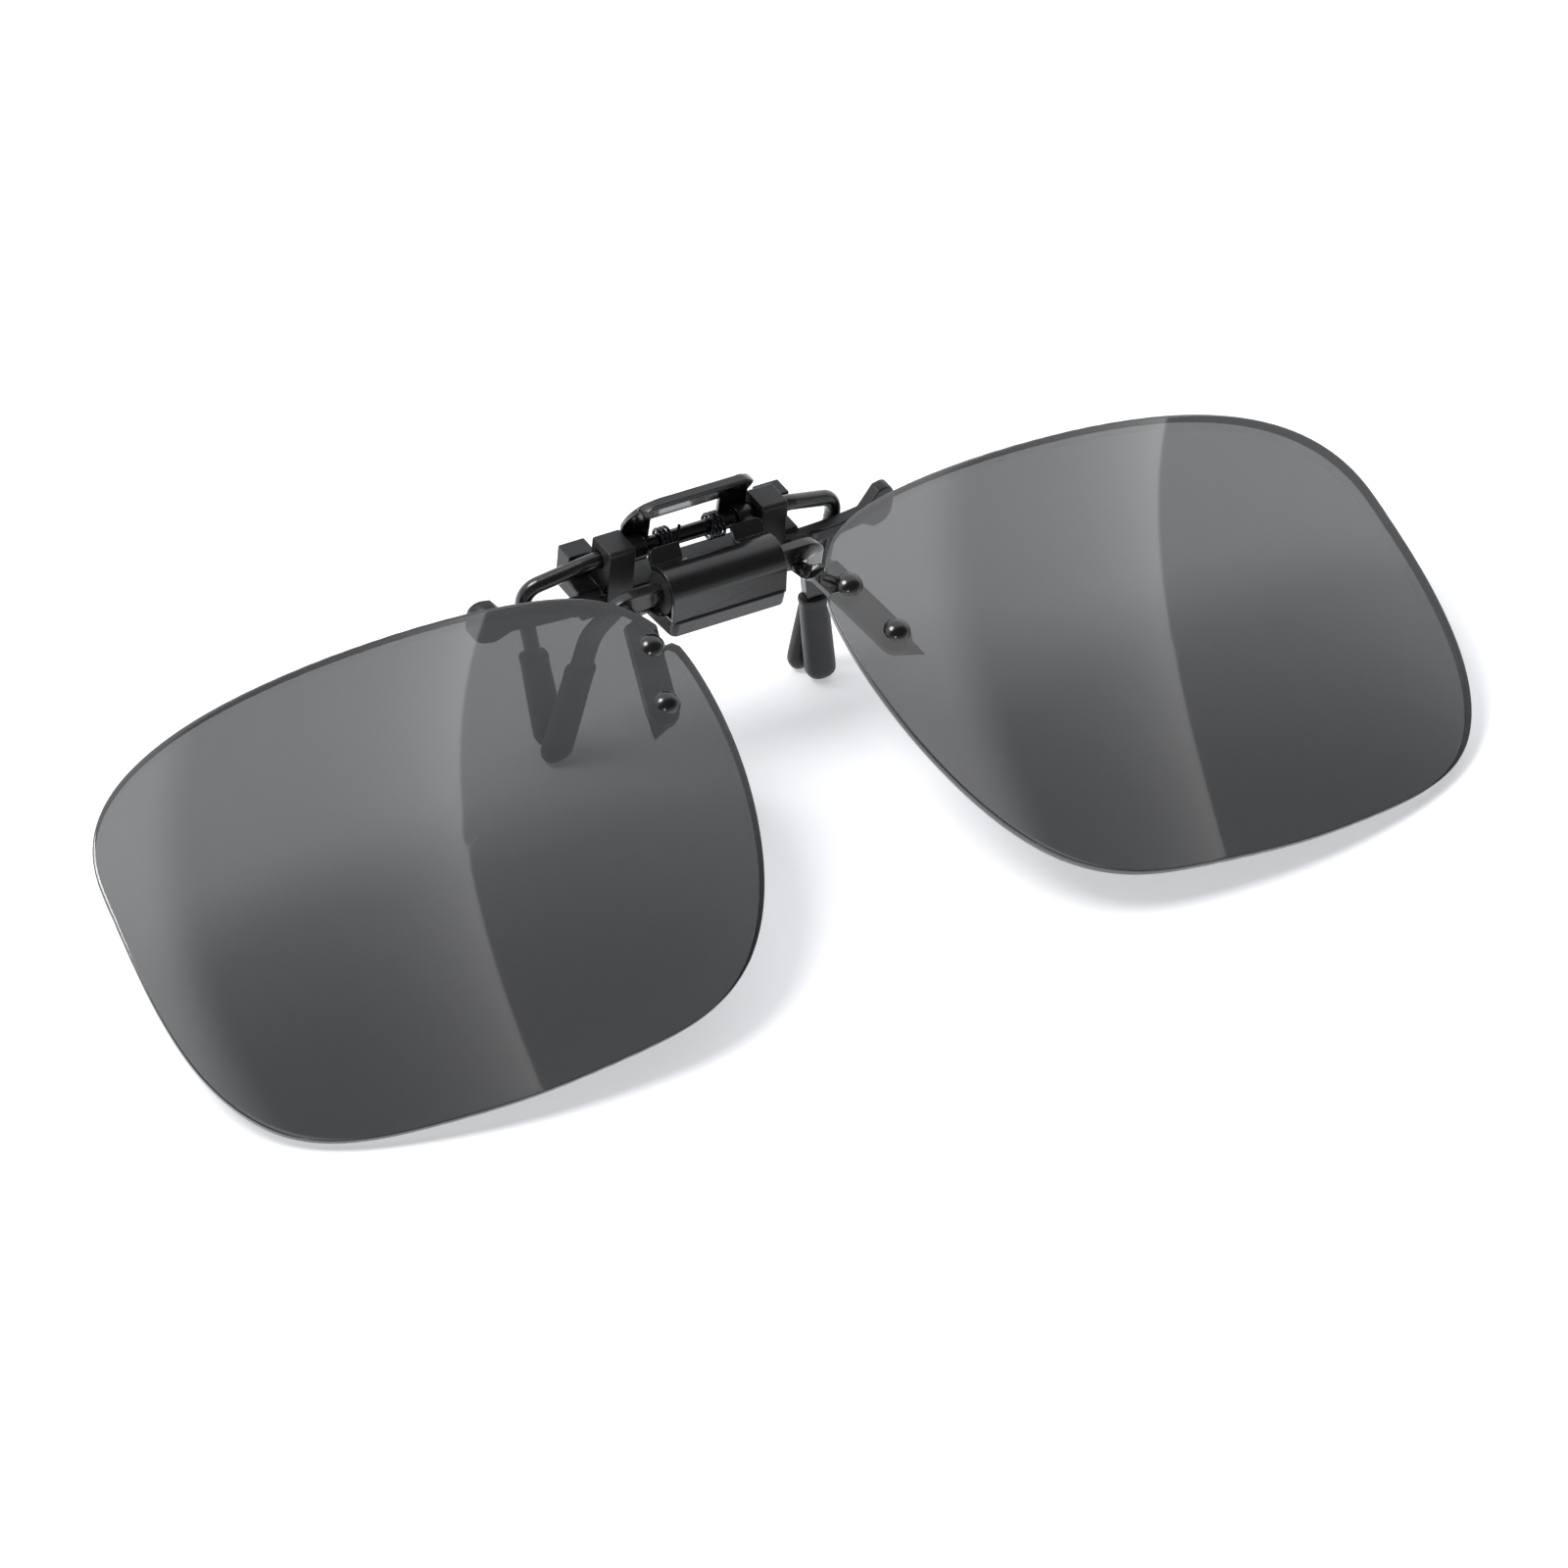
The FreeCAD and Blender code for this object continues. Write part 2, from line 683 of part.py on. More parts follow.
def make_front_frame():
    """Round axle through the hood, with a flat bar leg cranked back and down from each end."""
    route = front_leg_route()
    path = bent_path(route, [1.5, 6.0])
    half_width = size("leg_width") / 2
    half_thickness = size("leg_thickness") / 2
    start = route[0]
    corners = [(-half_thickness, -half_width), (half_thickness, -half_width)]
    corners += [(half_thickness, half_width), (-half_thickness, half_width)]
    points = [start + Vector(0, y, z) for y, z in corners]
    section = Part.makePolygon(points + points[:1])
    sweep = Part.BRepOffsetAPI.MakePipeShell(path)
    sweep.setBiNormalMode(Vector(0, 1, 0))
    sweep.setTransitionMode(1)
    sweep.add(section, False, False)
    sweep.build()
    sweep.makeSolid()
    leg = sweep.shape()
    axle_start = Vector(-size("axle_length") / 2, start.y, start.z)
    axle = Part.makeCylinder(size("axle_diameter") / 2, size("axle_length"), axle_start, Vector(1, 0, 0))
    return axle.fuse([leg, mirror_to(-1, leg.copy())]).removeSplitter()


new_feature("front_jaw_frame", make_front_frame(), AT_JAW_PIN)


# ---------------------------------------------------------------- rear jaw: bent wire, lever

def rear_leg_route():
    """Route of the right half of the rear wire about the jaw pin, from the middle to the pad's end."""
    return [
        Vector(0, 0, 0),
        Vector(size("block_outer") / 2 + 0.9, 0, 0),
        Vector(size("bend_across"), size("bend_back"), -size("bend_drop")),
        Vector(size("heel_across"), -size("heel_forward"), -size("heel_drop")),
    ]


def make_rear_wire():
    """One round wire: journals in the two blocks, a run out to each side, and two legs."""
    right = rear_leg_route()[1:]
    left = [Vector(-point.x, point.y, point.z) for point in reversed(right)]
    bend = size("bend_radius")
    return round_bar(bent_path(left + right, [bend, 4.0, 4.0, bend]), size("wire_diameter"))


def make_lever():
    """Thumb plate on two ears round the wire, with a window, round shoulders and a lipped top."""
    body = new_body("lever_plate")
    sheet_thickness = size("lever_sheet")
    foot = Vector(size("lever_foot_back"), -0.2, 0)
    knee = Vector(size("lever_knee_back"), size("lever_knee_height"), 0)
    top = Vector(-size("lever_top_forward"), size("lever_top_height"), 0)
    lip = top + Vector(-size("lever_lip"), -0.12, 0)
    thick = Vector(sheet_thickness, 0, 0)
    over = Vector(0.15, sheet_thickness, 0)
    outline = [foot, knee, top - Vector(0, 0.3, 0), lip, lip + Vector(0, sheet_thickness, 0)]
    outline += [top + over, top + thick, knee + thick, foot + thick]
    sketch = new_sketch(body, "YZ_Plane")
    draw(sketch, straight_edges([(point.x, point.y) for point in outline]))
    pad(body, sketch, "Sizes.lever_width", symmetric=True)
    # Ears: rings round the wire at both ends of the plate.
    for side in SIDES.values():
        middle = side * (size("lever_width") - size("ear_width")) / 2
        ear = new_sketch(body, "YZ_Plane", middle)
        radius = size("ear_radius")
        ear.addGeometry(Part.Circle(Vector(0, 0, 0), Vector(0, 0, 1), radius), False)
        pad(body, ear, "Sizes.ear_width", symmetric=True)
    window = new_sketch(body, "XZ_Plane")
    half = size("lever_window") / 2
    height = size("lever_knee_height") - 0.1
    draw(window, straight_edges([(-half, -3), (half, -3), (half, height), (-half, height)]))
    pocket(body, window, "Sizes.lever_width")
    bore = new_sketch(body, "YZ_Plane")
    circle(bore, 0, 0, "wire_diameter")
    pocket(body, bore, "Sizes.lever_width + 2")
    shoulders = new_sketch(body, "XZ_Plane")
    half = size("lever_width") / 2
    curve = size("lever_round")
    high = size("lever_top_height") + sheet_thickness
    for side in SIDES.values():
        outer = Vector(side * half, high - curve, 0)
        inner = Vector(side * (half - curve), high, 0)
        bend = Vector(side * (half - curve * 0.293), high - curve * 0.293, 0)
        corner = Vector(side * (half + 1), high + 1, 0)
        draw(shoulders, [
            Part.Arc(outer, bend, inner),
            Part.LineSegment(inner, Vector(inner.x, corner.y, 0)),
            Part.LineSegment(Vector(inner.x, corner.y, 0), corner),
            Part.LineSegment(corner, Vector(corner.x, outer.y, 0)),
            Part.LineSegment(Vector(corner.x, outer.y, 0), outer),
        ])
    pocket(body, shoulders, "Sizes.lever_width")
    body.Placement = AT_JAW_PIN
    return body


new_feature("rear_jaw_wire", make_rear_wire(), AT_JAW_PIN)
make_lever()


# ---------------------------------------------------------------- vinyl pads on the four leg ends

def make_pad(label, side, route):
    """Flat sleeve with a rounded closed end, pushed over one leg; its local +Z runs down the leg."""
    start, end = [Vector(side * point.x, point.y, point.z) for point in route[-2:]]
    direction = (end - start).normalize()
    body = new_body(label)
    outline = new_sketch(body, "XY_Plane")
    rectangle(outline, "pad_width", "pad_depth")
    pad(body, outline, "Sizes.pad_length")
    axis = Vector(0, 0, 1)
    length = size("pad_length")
    round_edges(
        body, lambda edge: is_along(edge, axis) or edge.BoundBox.ZMin > length - 0.01, "Sizes.pad_round")
    closed_end = end + direction * size("pad_skin")
    body.Placement = AT_JAW_PIN.multiply(along(direction, closed_end - direction * length))
    return body


for jaw, route, leg_name in (
    ("front", front_leg_route(), "front_jaw_frame"),
    ("rear", rear_leg_route(), "rear_jaw_wire"),
):
    for name, side in SIDES.items():
        blank = make_pad("%s_pad_%s" % (jaw, name), side, route)
        trim(blank, doc.getObject(leg_name))


# ---------------------------------------------------------------- torsion springs

def make_spring(side):
    """Close coil round the wire, one tail down on the jaw bar and one up on the lever."""
    wire = size("spring_wire")
    radius = size("wire_diameter") / 2 + 0.22 + wire / 2
    height = size("spring_pitch") * size("spring_turns")
    helix = Part.makeHelix(size("spring_pitch"), height, radius)
    start = helix.Edges[0].valueAt(helix.Edges[0].FirstParameter)
    heading = helix.Edges[0].tangentAt(helix.Edges[0].FirstParameter)
    section = Part.Wire([Part.Circle(start, heading, wire / 2).toShape()])
    coil = Part.Wire(helix.Edges).makePipeShell([section], True, True)
    last = helix.Edges[-1]
    finish = last.valueAt(last.LastParameter)
    tail = size("spring_tail")
    lower = Part.makeCylinder(wire / 2, tail, start, heading * -1)
    upper = Part.makeCylinder(wire / 2, tail, finish, last.tangentAt(last.LastParameter))
    spring = coil.fuse([lower, upper])
    # Local z along x; the coil starts at the front of the wire, with its tail hanging down.
    turn = Rotation(Vector(0, -1, 0), Vector(0, 0, -1), Vector(1, 0, 0), "ZXY")
    spring.Placement = Placement(Vector(size("spring_across") - height / 2, 0, 0), turn)
    return mirror_to(side, spring)


for name, side in SIDES.items():
    new_feature("torsion_spring_" + name, make_spring(side), AT_JAW_PIN)


# ---------------------------------------------------------------- moulded jaw bar

def wing_strip():
    """Plan of the right wing, swept gently back: (x, y) corners and arc points of its two long sides."""
    root = size("block_outer") / 2 - 0.3
    tip = size("wing_half")
    sweep = size("wing_sweep")
    front = -size("block_front") + 0.15
    sides = []
    for offset in (0.0, size("wing_thickness")):
        start = Vector(root, front + offset, 0)
        end = Vector(tip, front + sweep + offset, 0)
        halfway = Vector((root + tip) / 2, front + sweep * 0.24 + offset, 0)
        sides.append((start, halfway, end))
    return sides


def make_jaw_bar():
    """Bar with two bearing blocks, two swept wings with taller tips, and the lugs round both wires."""
    body = new_body("jaw_bar")
    inner = size("block_inner") / 2
    outer = size("block_outer") / 2
    low = -size("bar_bottom")
    middle = -size("bar_top")
    high = size("block_top")
    outline = [(-outer, low), (outer, low), (outer, high), (inner, high), (inner, middle)]
    outline += [(-inner, middle), (-inner, high), (-outer, high)]
    blocks = new_sketch(body, "XZ_Plane", -size("block_back"))
    draw(blocks, straight_edges(outline))
    pad(body, blocks, "Sizes.block_front + Sizes.block_back")
    across = Vector(1, 0, 0)
    round_edges(
        body, lambda edge: is_along(edge, across) and edge.BoundBox.ZMin > high - 0.01,
        "Sizes.block_bevel")
    for side in SIDES.values():
        wing = new_sketch(body, "XY_Plane", -size("wing_bottom"))
        front, back = wing_strip()
        points = [[Vector(side * p.x, p.y, 0) for p in row] for row in (front, back)]
        draw(wing, [
            Part.Arc(*points[0]),
            Part.LineSegment(points[0][2], points[1][2]),
            Part.Arc(*reversed(points[1])),
            Part.LineSegment(points[1][0], points[0][0]),
        ])
        pad(body, wing, "Sizes.wing_bottom - Sizes.tip_top")
        # The wing is only as tall as the bar, except at its tip.
        shape = new_sketch(body, "XZ_Plane")
        root = side * (outer + 0.001)
        neck = side * (size("wing_half") - size("tip_length"))
        tip = side * (size("wing_half") + 0.01)
        top = [(root, 0), (root, middle - 0.25), (neck, middle - 0.6), (neck + side * 1.6, -size("tip_top"))]
        top += [(neck + side * 1.6, 0)]
        under = [(root, -8), (root, low), (neck, low - 0.25), (neck + side * 1.4, -size("wing_bottom"))]
        under += [(neck + side * 1.4, -8)]
        draw(shape, straight_edges(top))
        draw(shape, straight_edges(under))
        pocket(body, shape, "Sizes.wing_half")
        round_edges(
            body, lambda edge, at=tip: is_along_tip(edge, at), "Sizes.wing_thickness")
    for side in SIDES.values():
        lug = new_sketch(body, "XY_Plane", middle)
        reach = side * size("rear_lug_outer")
        near = side * (outer - 0.5)
        behind = size("rear_lug_back")
        draw(lug, straight_edges([(near, behind - 2.1), (reach, behind - 2.1), (reach, behind), (near, behind)]))
        pad(body, lug, "Sizes.bar_top - Sizes.rear_lug_top")
        # The front leg's back rests on this lug.
        rest = new_sketch(body, "XY_Plane", low)
        ends = [side * size("leg_lug_inner"), side * size("leg_lug_outer")]
        face = -size("knee_forward") + size("leg_thickness") / 2
        draw(rest, straight_edges([(ends[0], face), (ends[1], face), (ends[1], -1.5), (ends[0], -1.5)]))
        pad(body, rest, "Sizes.bar_bottom - Sizes.bar_top - 0.3")
        brace = new_sketch(body, "XY_Plane", low)
        draw(brace, straight_edges([(near, -0.6), (reach, -0.6), (reach, behind), (near, behind)]))
        pad(body, brace, "Sizes.bar_bottom - Sizes.bar_top")
    bore = new_sketch(body, "YZ_Plane")
    circle(bore, 0, 0, "journal_bore")
    pocket(body, bore, "Sizes.block_outer * 2")
    body.Placement = AT_JAW_PIN
    return body


def is_along_tip(edge, tip):
    """True for the two corner edges at the end of a wing, which run along its thickness."""
    box = edge.BoundBox
    if edge.Curve.TypeId != "Part::GeomLine":
        return False
    return abs(box.XMin - tip) < 0.02 and abs(box.XMax - tip) < 0.02 and box.YLength > 0.5


make_jaw_bar()


# ---------------------------------------------------------------- check and write

def finished_pieces():
    """The sub-parts: bodies, code-made features and the last boolean of each tree."""
    used = {item for obj in doc.Objects for item in obj.OutList}
    kinds = ("PartDesign::Body", "Part::Feature", "Part::Cut")
    return [obj for obj in doc.Objects if obj.TypeId in kinds and not is_inner(obj, used)]


def is_inner(obj, used):
    """True for an object that only feeds another one."""
    if obj.Label.endswith("_blank"):
        return True
    return obj.TypeId == "Part::Cut" and obj in used


doc.recompute()
for item in doc.Objects:
    if {"Invalid", "Error"} & set(item.State):
        raise RuntimeError("%s failed: %s" % (item.Label, item.State))

os.makedirs("parts", exist_ok=True)
for piece in finished_pieces():
    if piece.Shape.isNull() or not piece.Shape.isValid():
        raise RuntimeError(piece.Label + ": shape is null or not valid")
    print("%-24s %8.2f mm3  %d solids" % (piece.Label, piece.Shape.Volume, len(piece.Shape.Solids)))
    piece.Shape.exportStep("parts/%s.step" % piece.Label)
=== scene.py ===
"""Looks of a pair of flip-up clip-on sunglasses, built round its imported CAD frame.

Every length is in metres, in the frame's own axes: +X to the viewer's right, -Y to the front, +Z up.
"""

import logging
import math
from dataclasses import dataclass, field
from enum import Enum

import bmesh
import bpy
import numpy as np
from mathutils import Matrix, Vector


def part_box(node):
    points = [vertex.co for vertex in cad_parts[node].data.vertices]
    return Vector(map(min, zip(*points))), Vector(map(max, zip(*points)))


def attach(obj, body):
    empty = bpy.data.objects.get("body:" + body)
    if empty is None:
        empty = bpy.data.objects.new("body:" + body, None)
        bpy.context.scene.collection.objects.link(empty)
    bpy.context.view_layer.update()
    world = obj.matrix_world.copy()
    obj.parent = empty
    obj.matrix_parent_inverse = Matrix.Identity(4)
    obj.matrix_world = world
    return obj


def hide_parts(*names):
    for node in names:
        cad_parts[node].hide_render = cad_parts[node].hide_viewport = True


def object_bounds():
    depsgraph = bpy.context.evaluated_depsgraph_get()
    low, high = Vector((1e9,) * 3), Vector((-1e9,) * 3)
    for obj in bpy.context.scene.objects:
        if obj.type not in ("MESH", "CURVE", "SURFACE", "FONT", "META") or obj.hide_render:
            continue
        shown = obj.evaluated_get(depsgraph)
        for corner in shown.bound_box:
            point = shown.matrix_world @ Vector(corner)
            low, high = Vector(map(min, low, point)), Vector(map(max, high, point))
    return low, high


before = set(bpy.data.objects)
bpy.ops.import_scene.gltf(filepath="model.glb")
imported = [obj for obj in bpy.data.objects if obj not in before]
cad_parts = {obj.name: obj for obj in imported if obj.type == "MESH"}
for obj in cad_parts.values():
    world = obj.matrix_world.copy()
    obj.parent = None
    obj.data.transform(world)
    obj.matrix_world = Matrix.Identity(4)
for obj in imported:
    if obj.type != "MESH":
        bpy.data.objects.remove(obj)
CAD_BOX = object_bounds()

MM = 0.001
# A noise texture's values seldom leave this range.
NOISE_LOW = 0.3
NOISE_HIGH = 0.7
# How a CAD node's edges are softened: points closer than the weld gap join, faces flatter than the flat
# angle merge, and edges sharper than the sharp angle get a rounded bevel.
WELD_GAP = 0.002 * MM
FLAT_ANGLE = math.radians(0.6)
SHARP_ANGLE = math.radians(32)
BEVEL_STEPS = 3

Triple = tuple[float, float, float]
log = logging.getLogger("clip_on")


class Side(Enum):
    """The wearer's two sides, by the direction along X."""

    LEFT = -1
    RIGHT = 1

    @property
    def word(self) -> str:
        """The side's name as the CAD nodes spell it."""
        return self.name.lower()


def linear(hex_colour: str) -> tuple[float, float, float, float]:
    """Turn an sRGB hex colour into linear RGBA.

    Args:
        hex_colour: six hex digits, with or without the leading #.

    Returns:
        The opaque colour as Blender's sockets take it.
    """
    digits = hex_colour.lstrip("#")
    channels = [int(digits[i : i + 2], 16) / 255 for i in (0, 2, 4)]
    curved = [c / 12.92 if c <= 0.04045 else ((c + 0.055) / 1.055) ** 2.4 for c in channels]
    return (*curved, 1.0)


def add_node(
    tree: bpy.types.NodeTree,
    kind: str,
    settings: dict[str, str] | None = None,
    **inputs: bpy.types.NodeSocket | float | tuple[float, ...],
) -> bpy.types.Node:
    """Add one node with its settings, its input values and the links that feed it.

    Args:
        tree: the node tree that the node goes in.
        kind: the node's class name.
        settings: properties of the node itself.
        inputs: a value or an output socket for each input, by name with _ for a space, or by i and a
            number.

    Returns:
        The new node.
    """
    made = tree.nodes.new(kind)
    for name, value in (settings or {}).items():
        setattr(made, name, value)
    for name, value in inputs.items():
        by_index = name[0] == "i" and name[1:].isdigit()
        socket = made.inputs[int(name[1:])] if by_index else made.inputs[name.replace("_", " ")]
        if isinstance(value, bpy.types.NodeSocket):
            tree.links.new(value, socket)
        else:
            socket.default_value = value
    return made


def blank_material(name: str) -> bpy.types.Material:
    """Make a material whose node tree is still empty.

    Args:
        name: what the material is called.

    Returns:
        The new material.
    """
    made = bpy.data.materials.new(name)
    made.use_nodes = True
    made.node_tree.nodes.clear()
    return made


def add_object(name: str, data: bpy.types.ID) -> bpy.types.Object:
    """Add an object to the scene.

    Args:
        name: what the object is called.
        data: its mesh, light or camera.

    Returns:
        The new object.
    """
    made = bpy.data.objects.new(name, data)
    bpy.context.scene.collection.objects.link(made)
    return made


# ---------------------------------------------------------------- finishes


@dataclass(frozen=True)
class Finish:
    """A coated or moulded surface: one colour, a fine grain, and a slight unevenness of its gloss."""

    name: str
    colour: str
    worn: str
    roughness: float
    spread: float
    grain: float
    relief: float
    metallic: float = 0.0
    coat: float = 0.0
    coat_roughness: float = 0.05
    sheen: float = 0.0
    blotch: float = 2.5 * MM

    def build(self) -> bpy.types.Material:
        """Make the material, or return the one already made.

        Returns:
            The material with its nodes.
        """
        made = bpy.data.materials.get(self.name)
        if made:
            return made
        made = blank_material(self.name)
        tree = made.node_tree
        place = add_node(tree, "ShaderNodeTexCoord").outputs["Object"]
        clouds = add_node(tree, "ShaderNodeTexNoise", Vector=place, Scale=1 / self.blotch, Detail=4.0)
        grain = add_node(
            tree, "ShaderNodeTexNoise", Vector=place, Scale=1 / self.grain, Detail=3.0, Roughness=0.6
        )
        colour = add_node(
            tree,
            "ShaderNodeMix",
            {"data_type": "RGBA"},
            i0=clouds.outputs["Fac"],
            i6=linear(self.colour),
            i7=linear(self.worn),
        )
        gloss = add_node(
            tree,
            "ShaderNodeMapRange",
            Value=grain.outputs["Fac"],
            From_Min=NOISE_LOW,
            From_Max=NOISE_HIGH,
            To_Min=self.roughness - self.spread,
            To_Max=self.roughness + self.spread,
        )
        bump = add_node(
            tree, "ShaderNodeBump", Height=grain.outputs["Fac"], Distance=self.relief, Strength=1.0
        )
        shader = add_node(
            tree,
            "ShaderNodeBsdfPrincipled",
            Base_Color=colour.outputs[2],
            Roughness=gloss.outputs["Result"],
            Metallic=self.metallic,
            Coat_Weight=self.coat,
            Coat_Roughness=self.coat_roughness,
            Sheen_Weight=self.sheen,
            Normal=bump.outputs["Normal"],
        )
        add_node(tree, "ShaderNodeOutputMaterial", Surface=shader.outputs["BSDF"])
        return made


@dataclass(frozen=True)
class PolarisedLens:
    """Grey polarised triacetate sheet with a hard coat: it lets a little light straight through."""

    name: str = "grey_polarised_triacetate"
    colour: str = "#16171a"
    streak: str = "#1a1b1d"
    density: float = 0.70
    ior: float = 1.49
    roughness: float = 0.035
    coat_roughness: float = 0.02
    ripple: float = 14 * MM
    ripple_depth: float = 0.0006 * MM

    def build(self) -> bpy.types.Material:
        """Make the material, or return the one already made.

        Returns:
            The material with its nodes.
        """
        made = bpy.data.materials.get(self.name)
        if made:
            return made
        made = blank_material(self.name)
        made.surface_render_method = "BLENDED"
        tree = made.node_tree
        place = add_node(tree, "ShaderNodeTexCoord").outputs["Object"]
        film = add_node(tree, "ShaderNodeTexNoise", Vector=place, Scale=1 / self.ripple, Detail=1.0)
        tint = add_node(
            tree,
            "ShaderNodeMix",
            {"data_type": "RGBA"},
            i0=film.outputs["Fac"],
            i6=linear(self.colour),
            i7=linear(self.streak),
        )
        bump = add_node(tree, "ShaderNodeBump", Height=film.outputs["Fac"], Distance=self.ripple_depth)
        shader = add_node(
            tree,
            "ShaderNodeBsdfPrincipled",
            Base_Color=tint.outputs[2],
            Roughness=self.roughness,
            IOR=self.ior,
            Alpha=self.density,
            Coat_Weight=1.0,
            Coat_Roughness=self.coat_roughness,
            Normal=bump.outputs["Normal"],
        )
        add_node(tree, "ShaderNodeOutputMaterial", Surface=shader.outputs["BSDF"])
        return made


# Ground rim of the lens: darker than the faces, because it is seen along the sheet.
GROUND_RIM = Finish(
    name="ground_lens_rim",
    colour="#1b1c1e",
    worn="#2b2c2f",
    roughness=0.30,
    spread=0.08,
    grain=0.15 * MM,
    relief=0.004 * MM,
    coat=0.5,
)
# Gloss stove paint on pressed steel: soft wide highlights with a faint orange peel.
STOVE_PAINT = Finish(
    name="black_stove_painted_steel",
    colour="#080809",
    worn="#0e0e0f",
    roughness=0.30,
    spread=0.04,
    grain=0.50 * MM,
    relief=0.002 * MM,
    coat=0.6,
    coat_roughness=0.12,
)
# Moulded nylon: grey where the light rakes over its spark-eroded grain.  The real grain is too fine to
# show, so it is drawn a few times coarser.
MOULDED_NYLON = Finish(
    name="black_moulded_nylon",
    colour="#111112",
    worn="#1b1b1c",
    roughness=0.42,
    spread=0.08,
    grain=0.16 * MM,
    relief=0.006 * MM,
)
# Dipped vinyl: a soft satin skin without grain edges.
DIPPED_VINYL = Finish(
    name="black_dipped_vinyl",
    colour="#0c0c0d",
    worn="#131314",
    roughness=0.42,
    spread=0.05,
    grain=0.40 * MM,
    relief=0.002 * MM,
    sheen=0.08,
)
# Blued spring wire: dark metal with sharp glints.
BLUED_WIRE = Finish(
    name="blued_spring_steel",
    colour="#3a3b3e",
    worn="#55565a",
    roughness=0.24,
    spread=0.06,
    grain=0.10 * MM,
    relief=0.002 * MM,
    metallic=1.0,
)
# Lacquered rivet heads: smooth black domes with a small sharp highlight.
RIVET_LACQUER = Finish(
    name="black_lacquered_rivet",
    colour="#0d0d0e",
    worn="#131314",
    roughness=0.22,
    spread=0.03,
    grain=0.50 * MM,
    relief=0.001 * MM,
    coat=0.8,
    coat_roughness=0.06,
)
# Nylon washers and bushes: duller and a little greyer than the paint beside them.
TURNED_NYLON = Finish(
    name="black_turned_nylon",
    colour="#1c1c1d",
    worn="#262627",
    roughness=0.50,
    spread=0.06,
    grain=0.12 * MM,
    relief=0.004 * MM,
)
# Polarised sheet: dark, and glossy enough to mirror the room in long soft bands.
LENS_SHEET = PolarisedLens()


# ---------------------------------------------------------------- sub-assemblies


def dress(name: str, finish: Finish, edge: float = 0.0) -> None:
    """Give a CAD node its material and, where it has sharp edges, a small bevel.

    Args:
        name: the CAD node.
        finish: what it is made of.
        edge: width of the bevel in metres, or 0 for none.
    """
    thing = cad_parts[name]
    thing.data.materials.clear()
    thing.data.materials.append(finish.build())
    if edge:
        weld = thing.modifiers.new("weld", "WELD")
        weld.merge_threshold = WELD_GAP
        flat = thing.modifiers.new("flat_faces", "DECIMATE")
        flat.decimate_type = "DISSOLVE"
        flat.angle_limit = FLAT_ANGLE
        bevel = thing.modifiers.new("broken_edges", "BEVEL")
        bevel.width = edge
        bevel.segments = BEVEL_STEPS
        bevel.limit_method = "ANGLE"
        bevel.angle_limit = SHARP_ANGLE
        bevel.use_clamp_overlap = False
        thing.modifiers.new("smooth", "WEIGHTED_NORMAL")
    log.info("dressed %s in %s", name, finish.name)


def new_piece(name: str, mesh: bmesh.types.BMesh, finish: Finish | PolarisedLens) -> bpy.types.Object:
    """Turn a bmesh into a smooth-shaded piece in the scene.

    Args:
        name: the piece's name.
        mesh: its mesh, which is freed.
        finish: what it is made of.

    Returns:
        The new object.
    """
    data = bpy.data.meshes.new(name)
    mesh.to_mesh(data)
    mesh.free()
    for face in data.polygons:
        face.use_smooth = True
    data.materials.append(finish.build())
    return add_object(name, data)


def skin(
    mesh: bmesh.types.BMesh, loops: list[list[bmesh.types.BMVert]], tips: list[Vector]
) -> list[list[bmesh.types.BMFace]]:
    """Join a row of equal loops into a closed skin, with a fan of faces at each end.

    Args:
        mesh: the mesh that holds the loops.
        loops: the loops, from the first end to the last.
        tips: the points that the first and the last loop close on.

    Returns:
        The faces between each loop and the next.
    """
    count = len(loops[0])
    strips = []
    for lower, upper in zip(loops, loops[1:]):
        strip = []
        for step in range(count):
            after = (step + 1) % count
            strip.append(mesh.faces.new((lower[step], lower[after], upper[after], upper[step])))
        strips.append(strip)
    for loop, tip in ((loops[0], tips[0]), (loops[-1], tips[1])):
        peak = mesh.verts.new(tip)
        for step in range(count):
            mesh.faces.new((loop[step], loop[(step + 1) % count], peak))
    bmesh.ops.recalc_face_normals(mesh, faces=mesh.faces)
    return strips


def box_middle(spots: list[Vector]) -> Vector:
    """Find the middle of the box round some points.

    Args:
        spots: the points.

    Returns:
        The middle of their box.
    """
    return Vector([(min(s[i] for s in spots) + max(s[i] for s in spots)) / 2 for i in range(3)])


